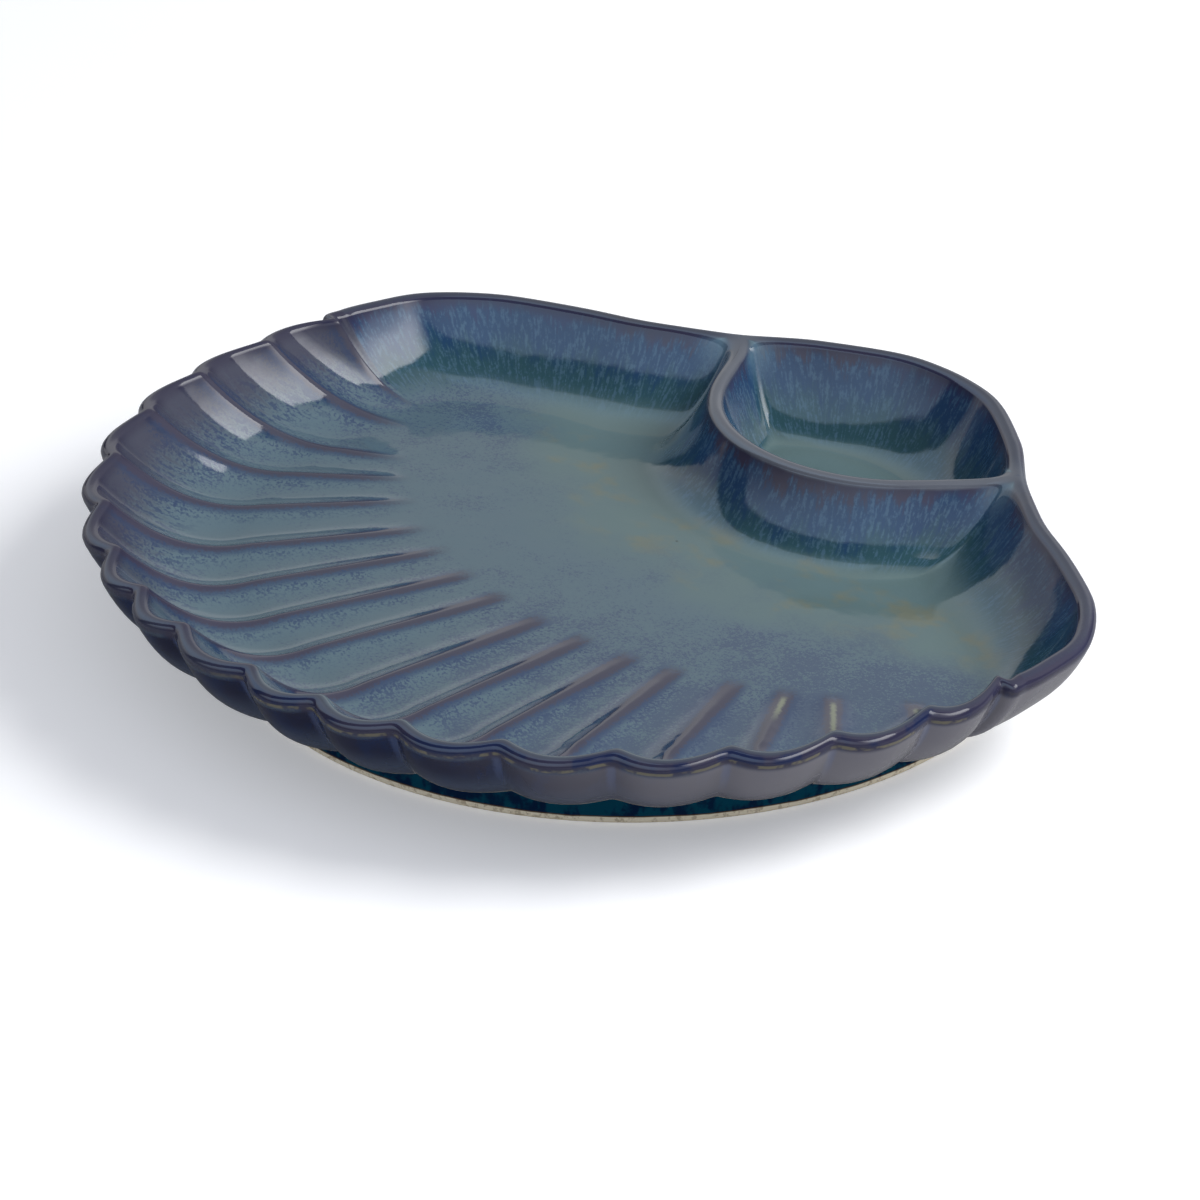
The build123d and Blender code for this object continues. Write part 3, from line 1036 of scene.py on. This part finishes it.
def footMesh():
    # The turned ring's section, rounded below, taken round the foot's centre.
    outer = form["footRadius"]
    inner = outer - footLook["width"]
    height = sectionInputs["Foot Height"] / mm
    radius = footLook["edgeRadius"]
    turns = np.linspace(0, math.pi / 2, footLook["profileSteps"] + 1)
    rises = np.linspace(height, radius, 7)[:-1]
    bend = [(radius * (1 - math.cos(turn)), radius * (1 - math.sin(turn))) for turn in turns]
    section = [(outer, z) for z in rises] + [(outer - inset, z) for inset, z in bend]
    section += [(inner + inset, z) for inset, z in bend[::-1]] + [(inner, z) for z in rises[::-1]]
    section = np.array(section) * mm
    angles = np.linspace(0, 2 * math.pi, footLook["segments"], endpoint=False)
    points = np.zeros((len(angles), len(section), 3))
    points[:, :, 0] = np.cos(angles)[:, None] * section[None, :, 0]
    points[:, :, 1] = np.sin(angles)[:, None] * section[None, :, 0] + footCentreY
    points[:, :, 2] = section[None, :, 1]
    ids = np.arange(points.shape[0] * points.shape[1]).reshape(points.shape[:2])
    low, high = ids, np.roll(ids, -1, axis=0)
    after = np.roll(np.arange(len(section)), -1)
    quads = np.stack((low[:, after], high[:, after], high, low), axis=2)
    mesh = bpy.data.meshes.new("glazedFoot")
    mesh.from_pydata(points.reshape(-1, 3).tolist(), [], quads.reshape(-1, 4).tolist())
    mesh.shade_smooth()
    mesh.set_sharp_from_angle(angle=math.radians(50))
    return mesh


low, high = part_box("foot_ring")
footCentreY = (low.y + high.y) / 2
tree = sectionTree()
glaze = reactiveGlaze()

trayRows, dishStart, dividerCount = dishRows()
cupRows, bowlStart, dividerCount = bowlRows()
tray = shellSurface("glazedDish", tree, trayRows, form["trayFloorHeight"], form["trayWallPower"])
cup = shellSurface("glazedBowl", tree, cupRows, form["bowlFloorHeight"], form["bowlWallPower"])
rounded = [roundCorners(surface["points"]) for surface in (tray, cup)]
points, quads, ids, shown = joinSurfaces(*rounded, dishStart, dividerCount, bowlStart)
ringOf = np.concatenate([np.tile(np.arange(r.shape[1]), len(r)) for r in rounded])
points = smoothJoined(points, quads, ringOf)
normals = vertexNormals(points, quads)
dishMesh = surfaceMesh("glazedDish", tray, points, normals, ids[0], shown[0])
bowlMesh = surfaceMesh("glazedBowl", cup, points, normals, ids[1], shown[1])
print("surfaces", len(dishMesh.vertices), len(bowlMesh.vertices))
dish = addPiece("glazedDish", dishMesh, glaze, "fluted_dish")
bowl = addPiece("glazedBowl", bowlMesh, glaze, "dip_bowl")
foot = addPiece("glazedFoot", footMesh(), footGlazeMaterial(), "foot_ring")
print("pieces", dish.name, bowl.name, foot.name)

# The view that was fitted to the photograph.
view = {
    "lens": 172.97,
    "sensorWidth": 36,
    "axes": ((0.6337, 0.7736, 0), (-0.3576, 0.2929, 0.8868), (0.6860, -0.5620, 0.4622)),
    "place": (1.19227, -0.97481, 0.81568),
}
camera = bpy.data.objects.new("camera", bpy.data.cameras.new("camera"))
scene.collection.objects.link(camera)
camera.data.lens = view["lens"]
camera.data.sensor_width = view["sensorWidth"]
place = Matrix.Translation(view["place"])
camera.matrix_world = place @ Matrix(view["axes"]).transposed().to_4x4()
scene.camera = camera

tableLook = {
    "reach": 6.0,
    "roughness": 0.8,
    "shades": (0.7, 0.8, 0.32),
    "lift": 0.3,
    "liftColour": (0.97, 0.98, 1.0),
}


def tableMaterial():
    # White, lifted for the camera alone so that the backdrop is white and keeps the shadow.
    material = plainMaterial("table", (0.7, 0.7, 0.7), tableLook["roughness"])
    graph = Graph(material.node_tree)
    isCamera, isGlossy = graph.rayKinds()
    lit, seen, mirrored = [opaque((shade, shade, shade)) for shade in tableLook["shades"]]
    shade = graph.mix(graph.mix(lit, mirrored, isGlossy), seen, isCamera)
    lifted = graph.mix(opaque((0.0, 0.0, 0.0)), opaque(tableLook["liftColour"]), isCamera)
    lift = tableLook["lift"]
    graph.dress(Base_Color=shade, Emission_Color=lifted, Emission_Strength=lift)
    return material


reach = tableLook["reach"]
corners = [(x * reach, y * reach, 0) for x, y in ((-1, -1), (1, -1), (1, 1), (-1, 1))]
tableMesh = bpy.data.meshes.new("table")
tableMesh.from_pydata(corners, [], [(0, 1, 2, 3)])
table = bpy.data.objects.new("table", tableMesh)
scene.collection.objects.link(table)
tableMesh.materials.append(tableMaterial())

# Light: a lamp from behind the bowl and an even fill; what the gloss shows is set apart.
studio = {
    "keyDirection": (42.0, 44.0),
    "keyDistance": 1.6,
    "keySize": (0.9, 0.8),
    "keyPower": 26.0,
    "fill": 0.50,
    "fillColour": (0.93, 0.965, 1.07),
    "fillFront": 1.7,
    "fillBack": 0.15,
    "wallLight": (0.43, 0.55),
    "frontTurn": -40.0,
    "horizonLift": (5.0, 26.0),
    "horizonShare": 0.2,
    "archLight": 0.05,
    "archMiddle": (140.7, 27.5),
    "archReach": (52.0, 75.0),
    "archEdge": 1.5,
    "archSkew": ((0.69, 22.0), (0.6, -50.0)),
    "gapTurn": (11.0, 21.0),
    "gapLift": (7.0, 12.0),
    "farTurn": (-26.0, 70.0),
    "farEdge": 8.0,
    "farLift": (15.0, 27.0),
    "farFoot": (-3.0, 3.0),
    "farLight": 0.42,
    "glow": 0.15,
    "glowTurn": 27.0,
    "glowNearness": (0.25, 1.0),
    "lensTurn": -112.0,
    "lensNearness": (-0.35, 0.6),
    "lensLift": (6.0, 34.0),
    "lensLight": 0.9,
    "lensColour": (0.75, 0.97, 1.22),
    "windowTurn": (-18.0, 12.0, 46.0),
    "windowLift": (25.0, 45.0, 57.0),
    "windowLight": 6.0,
    "windowEdge": 1.5,
    "windowSkew": 0.6,
}


def aimedPlace(azimuth, elevation, distance):
    turn, lift = math.radians(azimuth), math.radians(elevation)
    flat = math.cos(lift)
    away = Vector((flat * math.cos(turn), flat * math.sin(turn), math.sin(lift))) * distance
    return Matrix.Translation(away) @ away.to_track_quat("Z", "Y").to_matrix().to_4x4()


def between(value, limits, edge):
    low, high = limits
    return value.band(low - edge, low + edge, high - edge, high + edge)


lamp = bpy.data.lights.new("softbox", "AREA")
lamp.shape = "RECTANGLE"
lamp.size, lamp.size_y = studio["keySize"]
lamp.energy = studio["keyPower"]
lampObject = bpy.data.objects.new("softbox", lamp)
lampObject.matrix_world = aimedPlace(*studio["keyDirection"], studio["keyDistance"])
lampObject.visible_glossy = False
scene.collection.objects.link(lampObject)

world = bpy.data.worlds.new("studio")
world.use_nodes = True
world.node_tree.nodes.clear()
sky = Graph(world.node_tree)
x, y, z = sky.parts(sky.term("ShaderNodeTexCoord", None, "Generated"))
flat = (x * x + y * y) ** 0.5


def towardsTurn(degrees):
    angle = math.radians(degrees)
    return (x * math.cos(angle) + y * math.sin(angle)) / flat.atLeast(0.01)


lift = z.angleTo(flat) * (180 / math.pi)
turn = y.angleTo(x) * (180 / math.pi)
middleTurn, middleLift = [math.radians(angle) for angle in studio["archMiddle"]]
level = math.cos(middleLift)
middle = (level * math.cos(middleTurn), level * math.sin(middleTurn), math.sin(middleLift))
nearness = (x * middle[0] + y * middle[1] + z * middle[2]).atMost(1.0)
(rightOf, rightSkew), (leftOf, leftSkew) = studio["archSkew"]
skew = (x + rightOf).atLeast(0.0) * rightSkew + (x + leftOf).atMost(0.0) * leftSkew
apart = nearness.mathNode("ARCCOSINE") * (180 / math.pi) - skew
arch = between(apart, studio["archReach"], studio["archEdge"])
backTurn = y.angleTo(x * -1.0) * (180 / math.pi)
gap = between(backTurn, studio["gapTurn"], studio["archEdge"])
dark = arch.atLeast(gap * lift.fall(*studio["gapLift"]))
far = between(backTurn, studio["farTurn"], studio["farEdge"])
far = far * lift.fall(*studio["farLift"]) * lift.step(*studio["farFoot"])
facing = towardsTurn(studio["frontTurn"]) * 0.5 + 0.5
back, front = studio["wallLight"]
glow = towardsTurn(studio["glowTurn"]).step(*studio["glowNearness"]) * studio["glow"]
low = studio["horizonShare"]
lifted = lift.step(*studio["horizonLift"]) * (1 - low) + low
walls = (facing * (front - back) + back + glow) * lifted
walls = (walls + far * studio["farLight"]).towards(studio["archLight"], dark)
lens = towardsTurn(studio["lensTurn"]).step(*studio["lensNearness"])
lens = lens * lift.step(*studio["lensLift"]) * (1.0 - dark)
first, second, last = studio["windowTurn"]
skewed = turn - (lift - studio["windowLift"][1]) * studio["windowSkew"]
window = turn.step(first, second) * skewed.fall(last, last + studio["windowEdge"])
first, second, last = studio["windowLift"]
window = window * lift.step(first, second) * lift.fall(last, last + studio["windowEdge"])
mirrored = walls + window * studio["windowLight"] + lens * studio["lensLight"]
isCamera, isGlossy = sky.rayKinds()
evenly = (facing * studio["fillFront"] + studio["fillBack"]) * studio["fill"]
strength = mirrored * isGlossy + (1.0 - isGlossy) * evenly
strength = strength * (1.0 - isCamera) + isCamera
white = opaque((1.0, 1.0, 1.0))
tint = sky.mix(white, opaque(studio["lensColour"]), lens * isGlossy)
tint = sky.mix(opaque(studio["fillColour"]), tint, isCamera.atLeast(isGlossy))
background = sky.term("ShaderNodeBackground", None, 0, Color=tint, Strength=strength)
sky.node("ShaderNodeOutputWorld", None, Surface=background)
scene.world = world
scene.view_settings.view_transform = "Standard"
